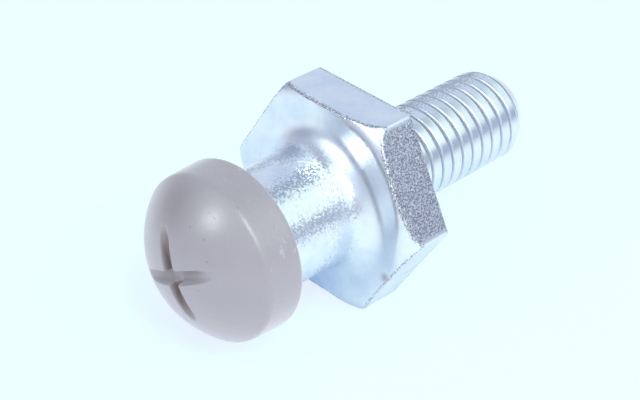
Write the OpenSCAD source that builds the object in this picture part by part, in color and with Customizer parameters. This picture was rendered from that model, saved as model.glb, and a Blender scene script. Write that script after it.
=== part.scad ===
// Clutch fork ball stud with its clip-on bearing cap, lying on one flat of the hexagon.
// The axis lies along X: the thread points along +X, and the capped ball end along -X.
// The origin is on the axis, in the plane of the hexagon's bearing face, and +Z is up.
// Profiles are drawn as half sections: across is the radius, up is the height above the bearing face.

/* [Thread] */
// Outer diameter of the thread
thread_d = 8; // [6:0.5:9]
// Length of the shank, from the bearing face to its end
thread_len = 17; // [8:0.2:40]
// Chamfer at the end of the shank, measured on the radius
end_chamfer = 0.8; // [0.2:0.1:1.2]
// Length of that chamfer along the shank
end_chamfer_len = 1.4; // [0.2:0.1:2]

/* [Hexagon] */
// Width across the flats
hex_af = 17; // [16:0.5:24]
// Thickness, from the bearing face to the neck side
hex_h = 4.25; // [3:0.25:10]
// Radius that rounds the corners off on the neck side
corner_round = 1.8; // [0.4:0.1:2.6]

/* [Neck] */
// Diameter of the neck
neck_d = 10; // [8:0.5:12]
// Length of the neck, from the hexagon to the shoulder of the ball end
neck_len = 10.05; // [6:0.05:30]
// Radius of the hollow between the neck and the hexagon
neck_fillet = 2; // [0.5:0.1:3]

/* [Ball end] */
// Height of the shoulder that the cap clips behind, measured on the radius
shoulder = 0.5; // [0.3:0.05:1]
// Length of the straight land that the cap turns on
land_len = 1; // [0.5:0.1:3]
// Height of the domed end above the land
dome_h = 2.8; // [1.5:0.1:4]

/* [Cap] */
// Wall of the skirt, at its waist
skirt_wall = 1.36; // [0.8:0.02:2.5]
// Thickness over the crown of the dome
crown_wall = 1.4; // [1:0.05:2.5]
// Lean of the skirt, in degrees, so that its rim is the widest place
skirt_draft = 2.5; // [0:0.5:6]
// Radius of the edge between the dome and the skirt
edge_round = 1.1; // [0.3:0.1:1.5]
// Radius of the outer edge of the rim
rim_round = 0.42; // [0.1:0.02:0.6]
// Length of the lip that clips behind the shoulder
lip_len = 1.3; // [0.8:0.1:3]
// Lead-in chamfer at the mouth of the lip
lead_in = 0.4; // [0.1:0.05:0.7]
// Width of the crossed grease grooves
groove_w = 1.05; // [0.5:0.05:2]
// Wall left under the floor of the grooves
groove_wall = 0.45; // [0.3:0.05:0.9]
// Turn of the grooves about the axis, in degrees, from upright
groove_turn = 27.5; // [0:2.5:90]

/* [Fits] */
// Running clearance between the land and the cap, on the radius
land_clear = 0.05; // [0.02:0.01:0.1]
// Clearance between the neck and the lip, on the radius
lip_clear = 0.2; // [0.1:0.05:0.25]
// Clearance between the two domes
dome_clear = 0.1; // [0.05:0.05:0.3]
// Play along the axis between the shoulder and the lip
end_play = 0.1; // [0.05:0.05:0.3]

/* [Hidden] */

$fn = 96;
hex_sides = 6;

thread_r = thread_d / 2;
hex_r = hex_af / 2 / cos(180 / hex_sides);
neck_r = neck_d / 2;
land_r = neck_r + shoulder;

// Heights up the stud
shoulder_z = hex_h + neck_len;
land_z = shoulder_z + shoulder;
dome_z = land_z + land_len;
crown_z = dome_z + dome_h;

// The ball end is the crown of one sphere, and the cap's domes share its centre
ball_r = (land_r * land_r + dome_h * dome_h) / (2 * dome_h);
ball_z = crown_z - ball_r;
fillet = min(neck_fillet, hex_af / 2 - neck_r, neck_len);
corner = min(corner_round, hex_h);

// Inside of the cap
socket_r = land_r + land_clear;
socket_ball_r = ball_r + dome_clear;
lip_r = neck_r + lip_clear;
catch_z = shoulder_z + lip_clear - end_play;
rim_z = catch_z - lip_len;

// Outside of the cap
cap_ball_r = socket_ball_r + crown_wall;
cap_crown_z = ball_z + cap_ball_r;
waist_r = socket_r + skirt_wall;
waist_z = ball_z + sqrt(cap_ball_r * cap_ball_r - waist_r * waist_r);
groove_z = cap_crown_z - crown_wall + groove_wall;

// Radius of the leaning skirt at height z
function skirt_r(z) = waist_r + (waist_z - z) * tan(skirt_draft);

// Height at which a round of radius edge_round touches both the skirt and the dome from inside:
// its centre keeps edge_round from the skirt and cap_ball_r - edge_round from the ball's centre
lean = tan(skirt_draft);
edge_reach = cap_ball_r - edge_round;
edge_in = skirt_r(ball_z) - edge_round / cos(skirt_draft);
edge_rise = (edge_in * lean + sqrt(edge_reach * edge_reach * (1 + lean * lean) - edge_in * edge_in))
    / (1 + lean * lean);
edge_c = [edge_in - edge_rise * lean, ball_z + edge_rise];
edge_end = atan2(edge_rise, edge_c[0]);

// The rim's round touches the skirt at the same lean and the flat of the rim
rim_c = [skirt_r(rim_z + rim_round) - rim_round / cos(skirt_draft), rim_z + rim_round];

// Point at an angle on the round of radius r about c
function on_round(c, r, angle) = c + r * [cos(angle), sin(angle)];

// Half section of the shank, flange and neck, with the flange round as it is before the flats are cut.
// A disc fills out the flange's corner, and another hollows the foot of the neck
module shank_section() {
    difference() {
        union() {
            polygon([
                [0, -thread_len],
                [thread_r - end_chamfer, -thread_len],
                [thread_r, end_chamfer_len - thread_len],
                [thread_r, 0],
                [hex_r, 0],
                [hex_r, hex_h - corner],
                [hex_r - corner, hex_h],
                [neck_r + fillet, hex_h],
                [neck_r, hex_h + fillet],
                [neck_r, shoulder_z],
                [land_r, land_z],
                [land_r, dome_z],
                [0, dome_z]
            ]);
            translate([hex_r - corner, hex_h - corner]) circle(corner);
        }
        translate([neck_r + fillet, hex_h + fillet]) circle(fillet);
    }
}

// Half of a disc about the ball's centre, cut level at height z
module ball_section(r, z) {
    intersection() {
        translate([0, ball_z]) circle(r);
        translate([0, z]) square([r, ball_z + r - z]);
    }
}

// Half section of the cap's outside: the skirt up to the dome, the dome, and a disc in each rounded edge
module cap_outside() {
    dome_foot = on_round(edge_c, edge_round, edge_end);
    polygon([
        [0, rim_z],
        [rim_c[0], rim_z],
        on_round(rim_c, rim_round, skirt_draft),
        on_round(edge_c, edge_round, skirt_draft),
        dome_foot,
        [0, dome_foot[1]]
    ]);
    translate(rim_c) circle(rim_round);
    translate(edge_c) circle(edge_round);
    ball_section(cap_ball_r, dome_foot[1]);
}

// Half section of the socket, from the lead-in up to the straight bore that runs on the land
module socket_bore() {
    polygon([
        [0, rim_z],
        [lip_r + lead_in, rim_z],
        [lip_r, rim_z + lead_in],
        [lip_r, catch_z],
        [socket_r, catch_z + socket_r - lip_r],
        [socket_r, dome_z],
        [0, dome_z]
    ]);
}

// Crossed grooves with a round floor at one height, which run out where the dome falls below it
module grease_grooves() {
    for (turn = [0, 90])
        rotate(groove_turn + turn)
            translate([0, 0, groove_z + groove_w / 2]) {
                rotate([0, 90, 0])
                    cylinder(d = groove_w, h = 2 * cap_ball_r, center = true);
                translate([-cap_ball_r, -groove_w / 2, 0])
                    cube([2 * cap_ball_r, groove_w, crown_wall]);
            }
}

// Lays a piece that is drawn upright down along -X
module lie_down() {
    rotate([0, -90, 0]) children();
}

// Cold-formed steel stud: thread, hexagon, neck and ball end in one piece
module ball_stud() {
    color("lightsteelblue")
        lie_down()
            intersection() {
                rotate_extrude() {
                    shank_section();
                    ball_section(ball_r, dome_z);
                }
                rotate(180 / hex_sides)
                    translate([0, 0, -thread_len])
                        cylinder(r = hex_r, h = thread_len + crown_z, $fn = hex_sides);
            }
}

// Moulded plastic cap: a domed shell with a clip lip and crossed grease grooves
module bearing_cap() {
    color("darkgray")
        lie_down()
            difference() {
                rotate_extrude()
                    difference() {
                        cap_outside();
                        socket_bore();
                        ball_section(socket_ball_r, dome_z);
                    }
                grease_grooves();
            }
}

ball_stud();
bearing_cap();
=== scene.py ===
"""Looks of a clutch fork ball stud: the zinc-plated stud, its plastic bearing cap and the studio.

Sizes are in millimetres in the part's own frame: the thread points along +X and +Z is up. A height counts
along the axis from the hexagon's bearing face towards the cap, so a height h lies at x = -h.
"""
import logging
import math
from dataclasses import dataclass, field
from enum import Enum
from typing import Any, Iterable, Optional, Sequence, Union

import bmesh
import bpy
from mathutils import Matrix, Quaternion, Vector


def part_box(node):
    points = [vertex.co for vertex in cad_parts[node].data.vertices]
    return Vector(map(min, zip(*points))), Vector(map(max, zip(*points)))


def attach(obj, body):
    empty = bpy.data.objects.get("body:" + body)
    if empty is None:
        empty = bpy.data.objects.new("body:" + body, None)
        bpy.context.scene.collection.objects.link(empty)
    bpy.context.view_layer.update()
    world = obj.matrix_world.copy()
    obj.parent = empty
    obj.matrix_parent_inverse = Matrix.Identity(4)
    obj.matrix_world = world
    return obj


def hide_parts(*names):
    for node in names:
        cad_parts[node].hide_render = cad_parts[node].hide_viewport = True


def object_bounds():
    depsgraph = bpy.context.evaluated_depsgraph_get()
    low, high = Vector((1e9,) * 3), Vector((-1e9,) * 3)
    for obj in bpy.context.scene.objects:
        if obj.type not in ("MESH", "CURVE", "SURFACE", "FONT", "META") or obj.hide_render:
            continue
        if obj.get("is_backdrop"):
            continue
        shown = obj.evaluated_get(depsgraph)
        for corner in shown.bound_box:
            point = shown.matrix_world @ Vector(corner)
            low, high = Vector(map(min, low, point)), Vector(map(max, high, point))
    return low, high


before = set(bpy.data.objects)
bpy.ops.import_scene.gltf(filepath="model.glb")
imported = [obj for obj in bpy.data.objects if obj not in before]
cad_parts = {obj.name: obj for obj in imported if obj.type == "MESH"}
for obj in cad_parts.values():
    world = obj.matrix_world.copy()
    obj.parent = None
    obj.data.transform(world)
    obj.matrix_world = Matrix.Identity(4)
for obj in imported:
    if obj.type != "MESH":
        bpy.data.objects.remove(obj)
CAD_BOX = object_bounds()

MM = 0.001
FULL_TURN = 2 * math.pi
TINY = 1e-9
LOG = logging.getLogger("ball_stud")

Colour = tuple[float, float, float]
Point = tuple[float, float, float]
Section = list[tuple[float, float]]
Range = tuple[float, float]


class CadNode(Enum):
    """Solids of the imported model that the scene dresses."""

    STUD = "ball_stud"
    CAP = "bearing_cap"


class Body(Enum):
    """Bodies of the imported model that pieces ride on."""

    STUD = "stud"
    CAP = "cap"


class Slot(Enum):
    """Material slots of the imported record."""

    ZINC = "zinc_steel"
    PLASTIC = "cap_plastic"


class Mark(Enum):
    """Values that a mesh carries at its points for its finish to read."""

    WORN = "worn"
    # share of painted shade in the thread's roots
    ROOT = "root"
    GROOVE = "groove"


class Hand(Enum):
    """Which way a thread winds along its axis."""

    RIGHT = 1
    LEFT = -1


class Value:
    """A socket of a shader, whose arithmetic in Python becomes Math nodes."""

    def __init__(self, graph: "Graph", socket: bpy.types.NodeSocket) -> None:
        """Keep the socket and the graph that it is in."""
        self.graph = graph
        self.socket = socket

    def __add__(self, other: "Number") -> "Value":
        """Sum of two values."""
        return self.graph.maths("ADD", self, other)

    def __radd__(self, other: float) -> "Value":
        """Sum of a number and this value."""
        return self.graph.maths("ADD", other, self)

    def __sub__(self, other: "Number") -> "Value":
        """This value less another."""
        return self.graph.maths("SUBTRACT", self, other)

    def __rsub__(self, other: float) -> "Value":
        """A number less this value."""
        return self.graph.maths("SUBTRACT", other, self)

    def __mul__(self, other: "Number") -> "Value":
        """Product of two values."""
        return self.graph.maths("MULTIPLY", self, other)

    def __rmul__(self, other: float) -> "Value":
        """Product of a number and this value."""
        return self.graph.maths("MULTIPLY", other, self)

    def highest(self, other: "Number") -> "Value":
        """The larger of two values."""
        return self.graph.maths("MAXIMUM", self, other)

    def rise(self, low: float, high: float) -> "Value":
        """Smooth step from 0 at low to 1 at high.

        Args:
            low: value at which the step begins.
            high: value at which the step is done, which may be below low.

        Returns:
            The stepped value.
        """
        inputs = {"Value": self, "From Min": low, "From Max": high}
        made = self.graph.node("ShaderNodeMapRange", {"interpolation_type": "SMOOTHSTEP"}, inputs)
        return Value(self.graph, made.outputs["Result"])


Number = Union[Value, float]


class Graph:
    """The node tree of one material or of the world."""

    def __init__(self, tree: bpy.types.NodeTree) -> None:
        """Take over a tree and empty it."""
        self.tree = tree
        tree.nodes.clear()

    def node(self, kind: str, settings: Optional[dict[str, Any]] = None,
             inputs: Optional[dict[Any, Any]] = None) -> bpy.types.Node:
        """Make any node.

        Args:
            kind: Blender's name of the node's type.
            settings: the node's own settings, which are set first.
            inputs: numbers, colours or values for its sockets, by name or index.

        Returns:
            The new node.
        """
        made = self.tree.nodes.new(kind)
        for name, setting in (settings or {}).items():
            setattr(made, name, setting)
        for key, given in (inputs or {}).items():
            if isinstance(given, Value):
                self.tree.links.new(given.socket, made.inputs[key])
            else:
                made.inputs[key].default_value = given
        return made

    def value(self, kind: str, output: Union[str, int], settings: Optional[dict[str, Any]] = None,
              inputs: Optional[dict[Any, Any]] = None) -> Value:
        """Make a node and return one of its outputs as a value."""
        return Value(self, self.node(kind, settings, inputs).outputs[output])

    def maths(self, operation: str, first: Number, second: Number) -> Value:
        """One Math node on two values or numbers."""
        return self.value("ShaderNodeMath", 0, {"operation": operation}, {0: first, 1: second})

    def mix(self, share: Number, first: Any, second: Any) -> Value:
        """Mix two colours.

        Args:
            share: 0 for the first colour, 1 for the second.
            first: a colour, as numbers or as a value.
            second: a colour, as numbers or as a value.

        Returns:
            The mixed colour.
        """
        sockets = {0: share, 6: paint(first), 7: paint(second)}
        return self.value("ShaderNodeMix", 2, {"data_type": "RGBA"}, sockets)

    def millimetres(self) -> Value:
        """Place on the piece in millimetres of the part's frame."""
        return self.scaled(self.value("ShaderNodeTexCoord", "Object"), 1 / MM)

    def noise(self, place: Value, grain: float, detail: float = 2.0, roughness: float = 0.5) -> Value:
        """Noise whose lumps are about grain millimetres across."""
        inputs = {"Vector": place, "Scale": 1 / grain, "Detail": detail, "Roughness": roughness}
        return self.value("ShaderNodeTexNoise", "Fac", {}, inputs)

    def mark(self, kind: Mark) -> Value:
        """A value that the mesh carries at its points."""
        return self.value("ShaderNodeAttribute", "Fac", {"attribute_name": kind.value})

    def bump(self, height: Value, depth: float) -> Value:
        """Normal of a surface whose height runs from 0 to depth millimetres."""
        return self.value("ShaderNodeBump", "Normal", {}, {"Height": height, "Distance": depth * MM})

    def vector(self, operation: str, first: Any, second: Any) -> Value:
        """One Vector Math node on two vectors."""
        return self.value("ShaderNodeVectorMath", "Vector", {"operation": operation}, {0: first, 1: second})

    def scaled(self, vector: Value, amount: Number) -> Value:
        """A vector times a number."""
        inputs = {0: vector, "Scale": amount}
        return self.value("ShaderNodeVectorMath", "Vector", {"operation": "SCALE"}, inputs)

    def grains(self, place: Value, size: float) -> Value:
        """A random vector from -0.5 to 0.5 for each grain of about size millimetres."""
        cells = self.value("ShaderNodeTexVoronoi", "Color", {}, {"Vector": place, "Scale": 1 / size})
        return self.vector("SUBTRACT", cells, (0.5, 0.5, 0.5))

    def tilted(self, normal: Value, grains: Value, amount: Number) -> Value:
        """A normal that leans by a random amount in each grain."""
        lean = self.scaled(grains, amount)
        return self.vector("NORMALIZE", self.vector("ADD", normal, lean), (0.0, 0.0, 0.0))

    def near(self, place: Value, spot: Point, inner: float, outer: float) -> Value:
        """How near a place lies to a spot.

        Args:
            place: the place in millimetres.
            spot: the spot in millimetres.
            inner: distance up to which the value is 1.
            outer: distance from which it is 0.

        Returns:
            The nearness, from 0 to 1.
        """
        away = self.value("ShaderNodeVectorMath", "Value", {"operation": "DISTANCE"}, {0: place, 1: spot})
        return away.rise(outer, inner)

    def shade(self, inputs: dict[str, Any]) -> None:
        """End the tree in one principled shader with these inputs."""
        shader = self.value("ShaderNodeBsdfPrincipled", "BSDF", {}, inputs)
        self.node("ShaderNodeOutputMaterial", {}, {"Surface": shader})


def paint(colour: Any) -> Any:
    """A colour with an alpha of 1 where it is plain numbers."""
    return colour if isinstance(colour, Value) else (*colour, 1.0)


def start_material(name: str) -> tuple[bpy.types.Material, Graph]:
    """Make a material with an empty graph.

    Args:
        name: the material's name.

    Returns:
        The material and its graph.
    """
    material = bpy.data.materials.new(name)
    material.use_nodes = True
    return material, Graph(material.node_tree)


@dataclass(frozen=True)
class ZincPlating:
    """Bright zinc over cold-formed steel: pale blue metal with a crystalline grain, soft mottling and
    painted shade in the thread's roots.
    """

    name: str = "zinc_plating"
    bright: Colour = (0.84, 0.875, 0.935)
    blue: Colour = (0.74, 0.80, 0.90)
    pit: Colour = (0.29, 0.26, 0.33)
    # painted shade: the colour that darkens the thread's roots
    root: Colour = (0.48, 0.51, 0.58)
    stain: Colour = (0.33, 0.19, 0.15)
    roughness: float = 0.17
    hexagon_roughness: float = 0.30
    root_roughness: float = 0.50
    mottle_roughness: float = 0.06
    grain_mm: float = 0.13
    grain_lean: float = 0.18
    smooth_lean: float = 0.04
    worn_lean: float = 0.17
    wave_mm: float = 1.3
    wave_depth_mm: float = 0.012
    mottle_mm: float = 2.4
    mottle_detail: float = 3.0
    mottle_fineness: float = 0.6
    mottle_range: Range = (0.35, 0.7)
    pit_range: Range = (0.42, 0.60)
    clean_pits: float = 0.03
    shank_range: Range = (0.5, 0.0)
    face_range: Range = (0.4, 0.0)
    neck_range: Range = (-4.6, -5.8)
    stain_at: Point = (-4.1, -7.3, -3.7)
    stain_core_mm: float = 0.1
    stain_mm: float = 0.65
    stain_share: float = 0.5

    def build(self) -> bpy.types.Material:
        """Make the material.

        Returns:
            The finished material.
        """
        material, graph = start_material(self.name)
        place = graph.millimetres()
        along = graph.value("ShaderNodeSeparateXYZ", "X", {}, {0: place})
        off_shank = along.rise(*self.shank_range)
        grains = graph.grains(place, self.grain_mm)
        wave = graph.noise(place, self.wave_mm, 1.0) * off_shank
        mottle = graph.noise(place, self.mottle_mm, self.mottle_detail, self.mottle_fineness)
        mottle = mottle.rise(*self.mottle_range)
        worn = graph.mark(Mark.WORN)
        root = graph.mark(Mark.ROOT)
        specks = graph.noise(place, self.grain_mm, 1.0)
        pits = specks.rise(*self.pit_range) * (self.clean_pits + worn)
        colour = graph.mix(pits, graph.mix(mottle, self.bright, self.blue), self.pit)
        # Painted shade darkens the thread's roots.
        colour = graph.mix(root, colour, self.root)
        stained = graph.near(place, self.stain_at, self.stain_core_mm, self.stain_mm)
        colour = graph.mix(stained * self.stain_share, colour, self.stain)
        neck = along.rise(*self.neck_range)
        hexagon = (1 - neck) * along.rise(*self.face_range) * (1 - worn)
        lean = self.smooth_lean + (self.grain_lean - self.smooth_lean) * neck + self.worn_lean * worn
        duller = (self.hexagon_roughness - self.roughness) * hexagon + self.root_roughness * root
        waved = graph.bump(wave, self.wave_depth_mm)
        graph.shade({
            "Base Color": colour,
            "Metallic": 1.0,
            "Roughness": self.roughness + self.mottle_roughness * mottle + duller,
            "Normal": graph.tilted(waved, grains, lean * off_shank),
        })
        return material


@dataclass(frozen=True)
class CapPlastic:
    """Satin grey moulded plastic, with old grease browning the floor of the grooves."""

    name: str = "cap_plastic"
    grey: Colour = (0.252, 0.230, 0.252)
    pale: Colour = (0.280, 0.256, 0.280)
    scuff: Colour = (0.56, 0.55, 0.58)
    # colour of a darker soft patch on the dome round a given point
    dark_patch: Colour = (0.17, 0.145, 0.155)
    grease: Colour = (0.13, 0.07, 0.052)
    speck: Colour = (0.16, 0.15, 0.17)
    sheen_tint: Colour = (1.0, 0.93, 0.98)
    roughness: float = 0.28
    cloud_roughness: float = 0.06
    grease_roughness: float = 0.15
    gloss: float = 0.80
    sheen: float = 0.45
    sheen_roughness: float = 0.45
    cloud_mm: float = 3.0
    grain_mm: float = 0.25
    grain_depth_mm: float = 0.008
    grain_range: Range = (0.40, 0.60)
    speck_mm: float = 0.35
    speck_range: Range = (0.83, 0.86)
    speck_share: float = 0.7
    scuff_mm: float = 0.9
    scuff_detail: float = 4.0
    scuff_fineness: float = 0.7
    scuff_range: Range = (0.56, 0.68)
    scuff_share: float = 0.30
    skirt_range: Range = (-16.8, -15.6)
    # Centre, reach and strength of the darker soft patch on the dome.
    dark_patch_at: Point = (-18.1, 2.1, 4.9)
    dark_patch_mm: float = 3.4
    dark_patch_share: float = 0.5
    grease_share: float = 0.75

    def build(self) -> bpy.types.Material:
        """Make the material.

        Returns:
            The finished material.
        """
        material, graph = start_material(self.name)
        place = graph.millimetres()
        cloud = graph.noise(place, self.cloud_mm, 2.0)
        grain = graph.noise(place, self.grain_mm, 2.0)
        speck = graph.noise(place, self.speck_mm, 0.0).rise(*self.speck_range)
        groove = graph.mark(Mark.GROOVE)
        along = graph.value("ShaderNodeSeparateXYZ", "X", {}, {0: place})
        rubbed = graph.noise(place, self.scuff_mm, self.scuff_detail, self.scuff_fineness)
        rubbed = rubbed.rise(*self.scuff_range)
        scuffs = rubbed * grain.rise(*self.grain_range) * along.rise(*self.skirt_range)
        darkened = graph.near(place, self.dark_patch_at, 0.0, self.dark_patch_mm)
        colour = graph.mix(cloud, self.grey, self.pale)
        colour = graph.mix(scuffs * self.scuff_share, colour, self.scuff)
        # A darker soft patch on the dome.
        colour = graph.mix(darkened * self.dark_patch_share, colour, self.dark_patch)
        colour = graph.mix(speck * self.speck_share, colour, self.speck)
        colour = graph.mix(groove * self.grease_share, colour, self.grease)
        graph.shade({
            "Base Color": colour,
            "Roughness": self.roughness + self.cloud_roughness * cloud + self.grease_roughness * groove,
            "Specular IOR Level": self.gloss,
            "Sheen Weight": self.sheen,
            "Sheen Roughness": self.sheen_roughness,
            "Sheen Tint": paint(self.sheen_tint),
            "Normal": graph.bump(grain, self.grain_depth_mm),
        })
        return material


@dataclass(frozen=True)
class PaleFloor:
    """Pale paper that the camera and the metal see as a bright ground, and that keeps the shadow."""

    name: str = "pale_floor"
    paper: Colour = (0.80, 0.82, 0.85)
    bounce: Colour = (0.53, 0.50, 0.52)
    lit: Colour = (0.10, 0.36, 0.18)
    glow: Colour = (0.731, 0.64, 0.84)
    mirror_lit: Colour = (0.66, 0.61, 0.43)
    mirror_glow: Colour = (0.08, 0.24, 0.53)
    far_lit: Colour = (0.20, 0.20, 0.18)
    far_glow: Colour = (0.56, 0.60, 0.70)
    near_mm: float = 35.0
    far_mm: float = 110.0

    def build(self) -> bpy.types.Material:
        """Make the material.

        Returns:
            The finished material.
        """
        material, graph = start_material(self.name)
        path = graph.node("ShaderNodeLightPath")
        camera = Value(graph, path.outputs["Is Camera Ray"])
        mirror = Value(graph, path.outputs["Is Glossy Ray"])
        glass = Value(graph, path.outputs["Is Transmission Ray"])
        straight = camera.highest(glass)
        close = graph.near(graph.millimetres(), (0.0, 0.0, 0.0), self.near_mm, self.far_mm)
        mirror_lit = graph.mix(close, self.far_lit, self.mirror_lit)
        mirror_glow = graph.mix(close, self.far_glow, self.mirror_glow)
        tone = graph.mix(straight, graph.mix(mirror, self.paper, mirror_lit), self.lit)
        shine = graph.mix(straight, graph.mix(mirror, self.bounce, mirror_glow), self.glow)
        diffuse = graph.value("ShaderNodeBsdfDiffuse", "BSDF", {}, {"Color": tone})
        emission = graph.value("ShaderNodeEmission", "Emission", {}, {"Color": shine, "Strength": 1.0})
        both = graph.value("ShaderNodeAddShader", "Shader", {}, {0: diffuse, 1: emission})
        graph.node("ShaderNodeOutputMaterial", {}, {"Surface": both})
        return material


def spread(start: float, stop: float, steps: int) -> list[float]:
    """Evenly spaced numbers from start to stop, both included."""
    return [start + (stop - start) * i / steps for i in range(steps + 1)]


def arc(centre: Sequence[float], radius: float, start: float, stop: float, steps: int) -> Section:
    """Points of an arc in a half section.

    Args:
        centre: radius and height of the arc's centre.
        radius: the arc's radius.
        start: angle of the first point, in radians, from straight out towards the cap.
        stop: angle of the last point.
        steps: number of steps between them.

    Returns:
        Radius and height of each point.
    """
    angles = spread(start, stop, steps)
    return [(centre[0] + radius * math.cos(a), centre[1] + radius * math.sin(a)) for a in angles]


def bend(start: Sequence[float], corner: Sequence[float], stop: Sequence[float], steps: int) -> Section:
    """Points of a soft edge that leaves start towards corner and arrives at stop."""
    made = []
    for t in spread(0.0, 1.0, steps):
        a, b, c = (1 - t) ** 2, 2 * t * (1 - t), t * t
        made.append(tuple(a * p + b * q + c * r for p, q, r in zip(start, corner, stop)))
    return made


class Skin:
    """Points and faces of one closed mesh, gathered ring by ring in millimetres."""

    def __init__(self, *kinds: Mark) -> None:
        """Start empty, with these kinds of mark at each point."""
        self.kinds = kinds
        self.points: list[Point] = []
        self.marks: list[tuple[float, ...]] = []
        self.faces: list[tuple[int, ...]] = []

    def add(self, point: Point, *marks: float) -> int:
        """Add a point and return its index. A mark that is left out is 0."""
        self.points.append(point)
        self.marks.append(marks)
        return len(self.points) - 1

    def ring(self, sections: Iterable[Sequence[float]], angles: Sequence[float]) -> list[int]:
        """Add a ring of points round the axis.

        Args:
            sections: radius, height and, where it has one, mark of each point.
            angles: angle of each point about the axis.

        Returns:
            Indices of the points.
        """
        made = []
        for (r, h, *mark), angle in zip(sections, angles):
            made.append(self.add((-h, r * math.cos(angle), r * math.sin(angle)), *mark))
        return made

    def join(self, first: Sequence[int], second: Sequence[int]) -> None:
        """Bridge two rings that have as many points."""
        for i in range(len(first)):
            self.faces.append((first[i - 1], first[i], second[i], second[i - 1]))

    def strip(self, first: Sequence[int], second: Sequence[int]) -> None:
        """Bridge two open rows that have as many points."""
        for j in range(len(first) - 1):
            self.faces.append((first[j], first[j + 1], second[j + 1], second[j]))

    def close(self, ring: Sequence[int], height: float) -> None:
        """Close a ring with a fan to a point on the axis."""
        tip = self.add((-height, 0.0, 0.0))
        for i in range(len(ring)):
            self.faces.append((ring[i - 1], ring[i], tip))

    def build(self, name: str, material: bpy.types.Material, merge_mm: float = 1e-4,
              sharp_deg: float = 50.0) -> bpy.types.Object:
        """Make the object.

        Args:
            name: the piece's name.
            material: its finish.
            merge_mm: points closer than this become one.
            sharp_deg: edges that turn by more than this stay sharp.

        Returns:
            The new object, linked to the scene.
        """
        form = bmesh.new()
        for kind in self.kinds:
            form.verts.layers.float.new(kind.value)
        layers = [form.verts.layers.float[kind.value] for kind in self.kinds]
        corners = []
        for point, marks in zip(self.points, self.marks):
            corner = form.verts.new(Vector(point) * MM)
            for layer, mark in zip(layers, marks):
                corner[layer] = mark
            corners.append(corner)
        for face in self.faces:
            form.faces.new([corners[i] for i in face])
        bmesh.ops.remove_doubles(form, verts=form.verts, dist=merge_mm * MM)
        bmesh.ops.dissolve_degenerate(form, edges=form.edges, dist=merge_mm * MM)
        bmesh.ops.recalc_face_normals(form, faces=form.faces)
        mesh = bpy.data.meshes.new(name)
        form.to_mesh(mesh)
        form.free()
        mesh.shade_smooth()
        mesh.set_sharp_from_angle(angle=math.radians(sharp_deg))
        mesh.materials.append(material)
        piece = bpy.data.objects.new(name, mesh)
        bpy.context.scene.collection.objects.link(piece)
        return piece


def soft_step(low: float, high: float, x: float) -> float:
    """Smooth step from 0 at low to 1 at high."""
    t = min(1.0, max(0.0, (x - low) / (high - low)))
    return t * t * (3 - 2 * t)


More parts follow.
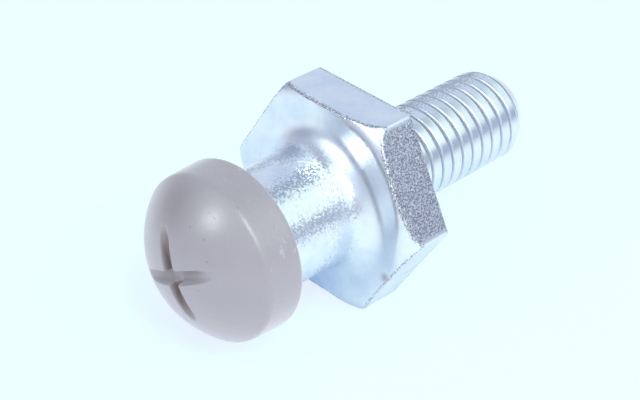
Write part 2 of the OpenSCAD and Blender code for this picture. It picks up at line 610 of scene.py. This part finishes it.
@dataclass
class BallStud:
    """The steel stud: rolled thread, hexagon with rounded corners, neck and ball end, as one turned skin."""

    name: str = "zinc_ball_stud"
    thread_r: float = 4.0
    pitch: float = 1.25
    thread_depth: float = 0.42
    crest_breadth: float = 12.0
    thread_steps: int = 24
    # Where the thread's roots get painted shade, and how strongly round the axis.
    root_share: float = 0.18
    root_full: float = 0.07
    root_least: float = 0.40
    root_side: Range = (-0.5, 0.6)
    hand: Hand = Hand.RIGHT
    runout_r: float = 3.6
    runout_from: float = 0.2
    runout_len: float = 1.2
    end_chamfer: float = 0.8
    end_chamfer_len: float = 1.4
    hex_h: float = 4.25
    corner_round: float = 1.8
    corner_slip: float = 0.52
    corner_slip_deg: float = 150.0
    corner_gain: float = 0.45
    corner_edge: float = 0.40
    edge_soft: float = 0.15
    edge_wear: float = 0.8
    coarse_flat_deg: float = 150.0
    coarse_edge: Range = (0.875, 0.885)
    coarse_wear: float = 0.75
    coarse_side_deg: float = 47.0
    coarse_side: Range = (0.60, 0.84)
    coarse_side_wear: float = 0.60
    neck_r: float = 5.0
    neck_len: float = 10.05
    fillet: float = 2.0
    shoulder: float = 0.5
    land_len: float = 1.0
    dome_h: float = 2.8
    flat_steps: int = 26
    corner_steps: int = 6
    round_steps: tuple[float, ...] = (1.0, 0.8, 0.6, 0.4, 0.2, 0.06)
    side_steps: tuple[float, ...] = (0.07, 0.3, 0.6, 0.93)
    face_steps: tuple[float, ...] = (0.04, 0.3, 0.65, 1.0)
    edge_steps: int = 4
    ball_steps: int = 8
    neck_steps: int = 8
    fillet_steps: int = 16
    crown_deg: float = 85.0
    end_ring_share: float = 0.6
    sides: int = 6
    finish: ZincPlating = field(default_factory=ZincPlating)

    def __post_init__(self) -> None:
        """Take the hexagon's width and the shank's length from the frame."""
        low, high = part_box(CadNode.STUD.value)
        self.flat_r = (high.z - low.z) / 2 / MM
        self.thread_len = high.x / MM
        self.hex_r = self.flat_r / math.cos(math.pi / self.sides)
        self.angles, self.outline = self.hexagon()

    def hexagon(self) -> tuple[list[float], list[float]]:
        """Angles round the axis, close together at the corners, and the hexagon's radius at each.

        Returns:
            The angles and the radii.
        """
        half = math.pi / self.sides
        reach = (self.flat_r - self.corner_edge) * math.tan(half)
        corner_c = (self.flat_r - self.corner_edge) / math.cos(half)
        angles: list[float] = []
        radii: list[float] = []
        for side in range(self.sides):
            middle = math.pi / 2 + 2 * half * side
            for along in spread(-reach, reach, self.flat_steps):
                angles.append(middle + math.atan2(along, self.flat_r))
                radii.append(math.hypot(along, self.flat_r))
            for turn in spread(-half, half, self.corner_steps)[1:-1]:
                out = corner_c + self.corner_edge * math.cos(turn)
                across = self.corner_edge * math.sin(turn)
                angles.append(middle + half + math.atan2(across, out))
                radii.append(math.hypot(out, across))
        return angles, radii

    def flange_section(self, radius: float, angle: float) -> list[tuple[float, float, float]]:
        """Half section of the hexagon at one angle, from the neck side to the bearing face.

        The round of the corners sits a little off the axis, so that it cuts some corners more than others.

        Args:
            radius: the hexagon's radius at this angle.
            angle: the angle about the axis.

        Returns:
            Radius, height and wear of each point, as many at every angle.
        """
        soft = self.edge_soft
        apart = math.cos(angle - math.radians(self.coarse_flat_deg))
        wear = self.coarse_wear * soft_step(*self.coarse_edge, apart)
        slip = self.corner_gain - self.corner_slip * math.cos(angle - math.radians(self.corner_slip_deg))
        reach = min(self.hex_r - self.corner_round + slip, radius - 2 * soft)
        centre = (reach, self.hex_h - self.corner_round)
        share = min(1.0, max(0.0, (radius - centre[0]) / self.corner_round))
        meet = math.acos(share)
        top = (radius, centre[1] + self.corner_round * math.sin(meet))
        leave = min(meet + soft / self.corner_round, math.pi / 2)
        made = []
        for step in self.round_steps:
            lift = leave + (math.pi / 2 - leave) * step
            made.append((*arc(centre, self.corner_round, lift, lift, 1)[0], 0.0))
        last = arc(centre, self.corner_round, leave, leave, 1)[0]
        rounded = bend(last, top, (radius, top[1] - soft), self.edge_steps)
        made += [(*p, self.edge_wear) for p in rounded]
        for step in self.side_steps:
            made.append((radius, top[1] - soft + (2 * soft - top[1]) * step, wear))
        rounded = bend((radius, soft), (radius, 0.0), (radius - soft, 0.0), self.edge_steps)
        made += [(*p, self.edge_wear) for p in rounded]
        return made

    def neck_section(self) -> Section:
        """Half section of the ball end and neck, from the crown to the hexagon's face."""
        land_r = self.neck_r + self.shoulder
        shoulder_h = self.hex_h + self.neck_len
        dome_foot = shoulder_h + self.shoulder + self.land_len
        ball_r = (land_r ** 2 + self.dome_h ** 2) / (2 * self.dome_h)
        ball_h = dome_foot + self.dome_h - ball_r
        foot_angle = math.atan2(dome_foot - ball_h, land_r)
        made = arc((0.0, ball_h), ball_r, math.radians(self.crown_deg), foot_angle, self.ball_steps)
        made += [(land_r, shoulder_h + self.shoulder), (self.neck_r, shoulder_h)]
        heights = spread(shoulder_h, self.hex_h + self.fillet, self.neck_steps)
        made += [(self.neck_r, h) for h in heights[1:-1]]
        foot = (self.neck_r + self.fillet, self.hex_h + self.fillet)
        made += arc(foot, self.fillet, math.pi, 1.5 * math.pi, self.fillet_steps)
        return made

    def thread_radius(self, place: float) -> float:
        """Radius of the rolled thread, with broad crests, at a share of the pitch from a crest."""
        return self.thread_r - self.thread_depth * math.sin(math.pi * place) ** (2 * self.crest_breadth)

    def add_thread(self, skin: Skin) -> None:
        """Wind the thread from the bearing face to the end of the shank, and close the end.

        Args:
            skin: the skin that takes the thread.
        """
        count = self.thread_steps
        turns = math.ceil(self.thread_len / self.pitch) + 2
        cone_from = self.thread_len - self.end_chamfer_len
        aside = [math.cos(angle - math.radians(self.coarse_side_deg)) for angle in self.angles]
        wear = [self.coarse_side_wear * soft_step(*self.coarse_side, share) for share in aside]
        least = self.root_least
        # Painted shade in the roots is fullest towards +Y and +Z and falls to root_least on the far side.
        root_shade_sides = [least + (1 - least) * soft_step(*self.root_side, share) for share in aside]
        rows = []
        for step in range(-count, turns * count):
            whole, part = divmod(step, count)
            place = part / count
            radius = self.thread_radius(place)
            # Painted shade: how deep in the root this step lies.
            root = soft_step(self.root_share, self.root_full, abs(place - 0.5))
            row = []
            for angle, coarse, root_shade_side in zip(self.angles, wear, root_shade_sides):
                wind = self.hand.value * (angle - self.angles[0]) / FULL_TURN
                x = self.pitch * (whole + place + wind)
                x = min(self.thread_len, max(0.0, x))
                grown = soft_step(self.runout_from, self.runout_len, x)
                r = self.runout_r + (radius - self.runout_r) * grown
                cone = self.thread_r - self.end_chamfer * max(0.0, x - cone_from) / self.end_chamfer_len
                # painted shade in the root, left off the end's cone
                root_shade = root * grown * root_shade_side if r < cone else 0.0
                r = min(r, cone)
                row.append(skin.add((x, r * math.cos(angle), r * math.sin(angle)), coarse * grown, root_shade))
            rows.append(row)
        last = len(self.angles) - 1
        ahead = self.hand.value * count
        for i in range(len(rows) - 1):
            skin.strip(rows[i], rows[i + 1])
            if 0 <= i + ahead < len(rows) - 1:
                over, under = rows[i + ahead], rows[i + ahead + 1]
                skin.faces.append((rows[i][last], over[0], under[0], rows[i + 1][last]))
        end_r = self.thread_r - self.end_chamfer
        end = skin.ring([(end_r, -self.thread_len)] * len(self.angles), self.angles)
        inner = skin.ring([(end_r * self.end_ring_share, -self.thread_len)] * len(self.angles), self.angles)
        skin.join(end, inner)
        skin.close(inner, -self.thread_len)

    def build(self) -> bpy.types.Object:
        """Make the stud and put it in place of its solid.

        Returns:
            The stud's object.
        """
        skin = Skin(Mark.WORN, Mark.ROOT)
        count = len(self.angles)
        neck = self.neck_section()
        rings = [skin.ring([p] * count, self.angles) for p in neck]
        sections = [self.flange_section(r, a) for r, a in zip(self.outline, self.angles)]
        for row in range(len(sections[0])):
            rings.append(skin.ring([section[row] for section in sections], self.angles))
        for share in self.face_steps:
            radii = [r - self.edge_soft + (self.runout_r - r + self.edge_soft) * share for r in self.outline]
            rings.append(skin.ring([(r, 0.0) for r in radii], self.angles))
        for first, second in zip(rings, rings[1:]):
            skin.join(first, second)
        crown_h = self.hex_h + self.neck_len + self.shoulder + self.land_len + self.dome_h
        skin.close(rings[0], crown_h)
        self.add_thread(skin)
        piece = skin.build(self.name, self.finish.build())
        normals = piece.modifiers.new("level_flats", "WEIGHTED_NORMAL")
        normals.keep_sharp = True
        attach(piece, Body.STUD.value)
        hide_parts(CadNode.STUD.value)
        return piece


@dataclass
class BearingCap:
    """The moulded cap: a dome with crossed grease grooves, a leaning skirt and a clip socket inside."""

    name: str = "grease_cap"
    ball_r: float = 8.30
    edge_round: float = 1.1
    rim_round: float = 0.42
    skirt_r: float = 6.91
    skirt_h: float = 16.40
    skirt_draft_deg: float = 2.5
    rim_h: float = 13.1
    groove_w: float = 1.05
    groove_depth: float = 0.95
    groove_turn_deg: float = 27.5
    lip_r: float = 5.2
    lead_in: float = 0.4
    catch_h: float = 14.4
    socket_r: float = 5.55
    socket_h: float = 15.8
    socket_ball_r: float = 6.9
    patch_r: float = 6.0
    wall_lean: float = 0.05
    floor_shares: tuple[float, ...] = (0.0, 0.3, 0.55, 0.75)
    bank_mm: tuple[float, ...] = (0.11, 0.25)
    open_from: float = 1.0
    fade_from: float = 3.0
    fade_to: float = 4.2
    line_steps: int = 5
    square_share: float = 0.66
    upright_grease: float = 1.6
    level_grease: float = 0.35
    crossing: float = 4.0
    dome_steps: int = 4
    edge_steps: int = 8
    rim_steps: int = 6
    skirt_steps: tuple[float, ...] = (0.1, 0.35, 0.65, 0.9)
    socket_steps: int = 8
    crown_deg: float = 84.0
    finish: CapPlastic = field(default_factory=CapPlastic)

    def __post_init__(self) -> None:
        """Take the crown's height from the frame."""
        low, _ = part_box(CadNode.CAP.value)
        self.crown_h = -low.x / MM
        self.ball_h = self.crown_h - self.ball_r

    def grid_lines(self) -> list[float]:
        """Places of the patch's lines, close together at the walls and the ends of the grooves."""
        wall = self.groove_w / 2
        lean = self.wall_lean
        lines = [wall * share for share in self.floor_shares]
        lines += [wall - 2 * lean, wall - lean, wall, wall + lean]
        lines += [wall + bank for bank in self.bank_mm]
        lines += spread(self.open_from, self.fade_from, self.line_steps)
        lines += spread(self.fade_from, self.fade_to, 2 * self.line_steps)[1:]
        lines += spread(self.fade_to, self.patch_r, self.line_steps)[1:]
        return [-x for x in reversed(lines[1:])] + lines

    def dome_point(self, u: float, v: float) -> tuple[float, float, float, float]:
        """A point of the crown's patch.

        Args:
            u: place across one groove.
            v: place across the other groove.

        Returns:
            Place on the disc of the patch, height above the ball's centre, and groove mark.
        """
        reach = max(abs(u), abs(v), TINY)
        rounding = soft_step(self.square_share, 1.0, reach / self.patch_r)
        factor = 1 + (reach / max(math.hypot(u, v), TINY) - 1) * rounding
        y, z = u * factor, v * factor
        dome = math.sqrt(self.ball_r ** 2 - y * y - z * z)
        upright = self.groove_cut(dome, y)
        level = self.groove_cut(dome, z)
        alone = 1 - min(1.0, self.crossing * level)
        grease = self.upright_grease * upright * alone + self.level_grease * level
        return y, z, dome - max(upright, level), min(1.0, grease / self.groove_depth)

    def groove_cut(self, dome: float, across: float) -> float:
        """Depth of one round-bottomed groove.

        Args:
            dome: height of the dome above the ball's centre.
            across: distance from the middle of the groove.

        Returns:
            How far the groove lies below the dome there.
        """
        wall = self.groove_w / 2
        inside = 1 - soft_step(wall - self.wall_lean, wall + self.wall_lean, abs(across))
        floor = self.ball_r - self.groove_depth + wall - math.sqrt(max(0.0, wall ** 2 - across ** 2))
        return inside * max(0.0, dome - floor)

    def outer_section(self) -> Section:
        """Half section from the patch's edge over the rounded edge and the skirt to the socket's mouth."""
        draft = math.radians(self.skirt_draft_deg)
        lean = math.tan(draft)
        start = math.acos(self.patch_r / self.ball_r)
        foot_r = self.skirt_r + (self.skirt_h - self.ball_h) * lean - self.edge_round / math.cos(draft)
        span = self.ball_r - self.edge_round
        rise = (foot_r * lean + math.sqrt(span ** 2 * (1 + lean ** 2) - foot_r ** 2)) / (1 + lean ** 2)
        edge_c = (foot_r - rise * lean, self.ball_h + rise)
        edge_angle = math.atan2(rise, edge_c[0])
        made = arc((0.0, self.ball_h), self.ball_r, start, edge_angle, self.dome_steps)[1:]
        made += arc(edge_c, self.edge_round, edge_angle, draft, self.edge_steps)[1:]
        rim_h = self.rim_h + self.rim_round
        rim_r = self.skirt_r + (self.skirt_h - rim_h) * lean - self.rim_round / math.cos(draft)
        rim = arc((rim_r, rim_h), self.rim_round, draft, -math.pi / 2, self.rim_steps)
        top = made[-1]
        made += [tuple(p + (q - p) * t for p, q in zip(top, rim[0])) for t in self.skirt_steps]
        return made + rim

    def inner_section(self) -> Section:
        """Half section of the socket, from its mouth to near the crown of its own dome."""
        foot_angle = math.atan2(self.socket_h - self.ball_h, self.socket_r)
        made = [(self.lip_r + self.lead_in, self.rim_h), (self.lip_r, self.rim_h + self.lead_in)]
        made += [(self.lip_r, self.catch_h), (self.socket_r, self.catch_h + self.socket_r - self.lip_r)]
        made += [(self.socket_r, self.socket_h)]
        crown = math.radians(self.crown_deg)
        return made + arc((0.0, self.ball_h), self.socket_ball_r, foot_angle, crown, self.socket_steps)

    def build(self) -> bpy.types.Object:
        """Make the cap and put it in place of its solid.

        Returns:
            The cap's object.
        """
        skin = Skin(Mark.GROOVE)
        lines = self.grid_lines()
        turn = math.radians(self.groove_turn_deg)
        rows = []
        for u in lines:
            row = []
            for v in lines:
                across, along, height, mark = self.dome_point(u, v)
                y = along * math.sin(turn) + across * math.cos(turn)
                z = along * math.cos(turn) - across * math.sin(turn)
                row.append(skin.add((-self.ball_h - height, y, z), mark))
            rows.append(row)
        for first, second in zip(rows, rows[1:]):
            skin.strip(first, second)
        border = rows[0][:-1] + [row[-1] for row in rows[:-1]]
        border += rows[-1][:0:-1] + [row[0] for row in reversed(rows[1:])]
        angles = [math.atan2(skin.points[i][2], skin.points[i][1]) for i in border]
        rings = [border]
        for point in self.outer_section() + self.inner_section():
            rings.append(skin.ring([point] * len(angles), angles))
        for first, second in zip(rings, rings[1:]):
            skin.join(first, second)
        skin.close(rings[-1], self.ball_h + self.socket_ball_r)
        piece = skin.build(self.name, self.finish.build())
        smooth = piece.modifiers.new("moulded", "SUBSURF")
        smooth.levels = 1
        smooth.render_levels = 1
        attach(piece, Body.CAP.value)
        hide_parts(CadNode.CAP.value)
        return piece


@dataclass(frozen=True)
class Softbox:
    """One soft lamp, placed by the direction that it shines from."""

    name: str
    azimuth_deg: float
    elevation_deg: float
    width_mm: float
    height_mm: float
    brightness: float
    mirrored: bool = True
    colour: Colour = (0.94, 0.98, 1.04)
    distance_mm: float = 300.0

    def build(self) -> bpy.types.Object:
        """Hang the lamp, facing the part.

        Returns:
            The lamp's object.
        """
        lamp = bpy.data.lights.new(self.name, "AREA")
        lamp.shape = "ELLIPSE"
        lamp.size = self.width_mm * MM
        lamp.size_y = self.height_mm * MM
        lamp.color = self.colour
        area = math.pi * lamp.size * lamp.size_y / 4
        lamp.energy = self.brightness * math.pi * area
        way = heading(self.azimuth_deg, self.elevation_deg)
        hung = bpy.data.objects.new(self.name, lamp)
        hung.visible_glossy = self.mirrored
        hung.location = way * self.distance_mm * MM
        hung.rotation_mode = "QUATERNION"
        hung.rotation_quaternion = (-way).to_track_quat("-Z", "Y")
        bpy.context.scene.collection.objects.link(hung)
        return hung


def heading(azimuth_deg: float, elevation_deg: float) -> Vector:
    """Unit vector of a direction, with azimuth counted from +X towards +Y."""
    azimuth = math.radians(azimuth_deg)
    elevation = math.radians(elevation_deg)
    level = math.cos(elevation)
    return Vector((math.cos(azimuth) * level, math.sin(azimuth) * level, math.sin(elevation)))


@dataclass(frozen=True)
class RoomPatch:
    """A round patch of the room that the metal mirrors, by the direction that it lies in."""

    azimuth_deg: float
    elevation_deg: float
    half_deg: float
    soft_deg: float
    colour: Colour

    def share(self, graph: Graph, way: Value) -> Value:
        """How far a direction lies in the patch, from 0 to 1."""
        middle = heading(self.azimuth_deg, self.elevation_deg)
        sockets = {0: way, 1: middle}
        near = graph.value("ShaderNodeVectorMath", "Value", {"operation": "DOT_PRODUCT"}, sockets)
        outer = math.cos(math.radians(self.half_deg + self.soft_deg))
        inner = math.cos(math.radians(self.half_deg - self.soft_deg))
        return near.rise(outer, inner)


WHITE_PANEL: Colour = (1.02, 1.20, 1.15)


@dataclass
class Studio:
    """Camera, lamps, surroundings and floor."""

    camera_at: Point = (-85.44, -75.17, 74.84)
    camera_aim: Point = (-2.75, 1.50, -1.48)
    camera_roll_deg: float = 3.37
    lens: float = 94.4
    clip_m: Range = (0.005, 20.0)
    floor_size_mm: float = 4000.0
    ground: Colour = (0.863, 1.0, 0.991)
    walls: Colour = (0.51, 0.56, 0.68)
    patches: tuple[RoomPatch, ...] = (
        RoomPatch(43.0, 24.0, 34.0, 10.0, (0.69, 0.79, 0.92)),
        RoomPatch(52.0, -2.0, 11.0, 7.0, (0.42, 0.50, 0.60)),
        RoomPatch(-140.0, 24.0, 19.0, 8.0, (0.70, 0.78, 0.88)),
        RoomPatch(166.0, 47.0, 27.0, 5.0, WHITE_PANEL),
        RoomPatch(-72.0, 46.0, 37.0, 4.0, WHITE_PANEL),
        RoomPatch(-100.0, 67.0, 24.0, 6.0, WHITE_PANEL),
        RoomPatch(-2.0, 36.0, 13.0, 3.0, (0.92, 1.14, 1.14)),
        RoomPatch(4.0, 62.0, 14.5, 3.0, (0.36, 0.43, 0.54)),
        RoomPatch(120.0, 12.0, 13.0, 8.0, (0.30, 0.34, 0.43)),
        RoomPatch(-52.0, 9.0, 10.0, 5.0, (0.45, 0.51, 0.64)),
    )
    softboxes: tuple[Softbox, ...] = (
        Softbox("left_softbox", 169.0, 36.5, 90.0, 90.0, 10.0),
        Softbox("top_softbox", -116.0, 54.0, 110.0, 110.0, 7.5),
        Softbox("low_softbox", -107.0, 37.0, 80.0, 80.0, 5.0),
        Softbox("right_softbox", -66.0, 40.0, 260.0, 150.0, 3.2, mirrored=False),
    )
    finish: PaleFloor = field(default_factory=PaleFloor)

    def add_camera(self) -> None:
        """Set the camera at the photograph's viewing angle."""
        lens = bpy.data.cameras.new("camera")
        lens.lens = self.lens
        lens.clip_start, lens.clip_end = self.clip_m
        camera = bpy.data.objects.new("camera", lens)
        camera.location = Vector(self.camera_at) * MM
        way = Vector(self.camera_aim) - Vector(self.camera_at)
        roll = Quaternion((0.0, 0.0, 1.0), math.radians(self.camera_roll_deg))
        camera.rotation_mode = "QUATERNION"
        camera.rotation_quaternion = way.to_track_quat("-Z", "Y") @ roll
        bpy.context.scene.collection.objects.link(camera)
        bpy.context.scene.camera = camera

    def add_floor(self) -> None:
        """Lay the floor under the hexagon's lower flat."""
        half = self.floor_size_mm / 2 * MM
        level = CAD_BOX[0].z
        corners = [(-half, -half, level), (half, -half, level), (half, half, level), (-half, half, level)]
        mesh = bpy.data.meshes.new("floor")
        mesh.from_pydata(corners, [], [(0, 1, 2, 3)])
        mesh.materials.append(self.finish.build())
        floor = bpy.data.objects.new("floor", mesh)
        bpy.context.scene.collection.objects.link(floor)
        floor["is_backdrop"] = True

    def add_surroundings(self) -> None:
        """Paint the room that the metal mirrors: grey walls with white panels and a few dark corners."""
        world = bpy.data.worlds.new("studio")
        world.use_nodes = True
        bpy.context.scene.world = world
        graph = Graph(world.node_tree)
        way = graph.value("ShaderNodeTexCoord", "Generated")
        room: Any = self.walls
        for patch in self.patches:
            room = graph.mix(patch.share(graph, way), room, patch.colour)
        path = graph.node("ShaderNodeLightPath")
        straight = Value(graph, path.outputs["Is Camera Ray"])
        glass = Value(graph, path.outputs["Is Transmission Ray"])
        seen = graph.mix(straight.highest(glass), room, self.ground)
        background = graph.value("ShaderNodeBackground", "Background", {}, {"Color": seen})
        graph.node("ShaderNodeOutputWorld", {}, {"Surface": background})

    def build(self) -> None:
        """Make the camera, the lamps, the surroundings and the floor."""
        self.add_camera()
        self.add_floor()
        self.add_surroundings()
        for softbox in self.softboxes:
            softbox.build()
            LOG.info("lamp %s", softbox.name)


def write_sizes() -> None:
    """Work out the solids' box and the dressed model's box, in metres."""
    bpy.context.view_layer.update()
    boxes = {"cad": CAD_BOX, "visual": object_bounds()}
    boxes = {name: [list(corner) for corner in box] for name, box in boxes.items()}


def main() -> None:
    """Build the studio and the two pieces, and work out their sizes."""
    logging.basicConfig(level=logging.INFO)
    bpy.context.scene.view_settings.view_transform = "Standard"
    Studio().build()
    for maker in (BallStud(), BearingCap()):
        piece = maker.build()
        LOG.info("piece %s with %d faces", piece.name, len(piece.data.polygons))
    write_sizes()


if __name__ == "__main__":
    main()
